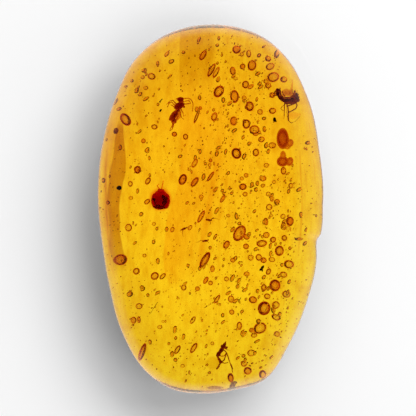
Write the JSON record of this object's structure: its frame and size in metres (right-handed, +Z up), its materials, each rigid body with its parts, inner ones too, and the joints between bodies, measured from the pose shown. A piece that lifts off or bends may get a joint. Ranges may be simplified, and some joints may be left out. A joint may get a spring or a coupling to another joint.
{
  "type": "insect in amber",
  "caption": "Polished yellow-orange amber pebble with a flat underside, holding sealed insects, brown drops and gas bubbles. It rests on a surface for display or study.",
  "frame": {"origin": "middle of the flat base, at the surface the pebble rests on", "axes": "+Z up through the pebble's thickness, +Y along its length, +X to its right as seen from above"},
  "size_m": [0.0244, 0.04, 0.011],
  "materials": {
    "amber": "polished clear resin",
    "chitin_black": "dark insect shell",
    "chitin_brown": "brown insect shell",
    "ruby_red": "glossy red wing cases",
    "resin_brown": "brown see-through drop",
    "bark_purple": "dull bark",
    "leaf_olive": "dull leaf scale"
  },
  "bodies": {
    "root": {"amber_upper": "amber", "amber_lower": "amber", "winged_gnat": "chitin_brown", "curled_gnat": "chitin_black", "red_beetle": "ruby_red", "slender_wasp": "chitin_brown", "midge_left": "chitin_black", "midge_middle": "chitin_black", "midge_lower": "chitin_black", "brown_drop_tall": "resin_brown", "brown_drop_round": "resin_brown", "bark_flake": "bark_purple", "leaf_scale": "leaf_olive", "grain_left": "chitin_black", "grain_right": "chitin_black", "grain_middle": "chitin_black", "grain_edge": "bark_purple", "grain_low": "chitin_black"}
  },
  "joints": []
}
